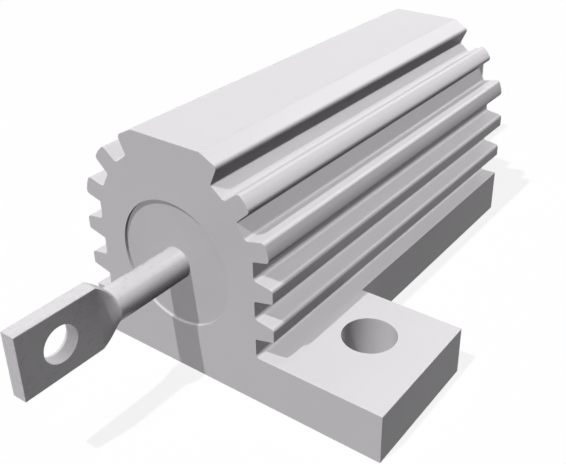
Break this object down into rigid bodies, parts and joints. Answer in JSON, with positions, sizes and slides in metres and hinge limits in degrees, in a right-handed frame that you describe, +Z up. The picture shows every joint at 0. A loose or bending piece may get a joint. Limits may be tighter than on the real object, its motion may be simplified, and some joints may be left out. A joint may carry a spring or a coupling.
{
  "type": "aluminium housed resistor",
  "caption": "Chassis mounting wirewound power resistor in a finned aluminium housing, with a drilled foot at two opposite corners and a flat drilled solder lug at each end.",
  "frame": {"origin": "middle of the base's underside, on the plane that it is bolted down on", "axes": "+X across the feet towards the front foot's side, +Y from the front terminal to the rear terminal, +Z up from the base"},
  "size_m": [0.028, 0.0512, 0.015],
  "materials": {
    "housing": "clear anodised, satin",
    "moulding": "moulding compound, matte",
    "ceramic": "fired ceramic, matte",
    "resistance_alloy": "drawn alloy ribbon",
    "cap_steel": "drawn and plated",
    "tinned_terminal": "tinned, semi-bright"
  },
  "bodies": {
    "root": {"housing": "housing", "moulding": "moulding", "ceramic_core": "ceramic", "resistance_winding": "resistance_alloy", "end_cap_front": "cap_steel", "end_cap_rear": "cap_steel", "terminal_front": "tinned_terminal", "terminal_rear": "tinned_terminal"}
  },
  "joints": []
}
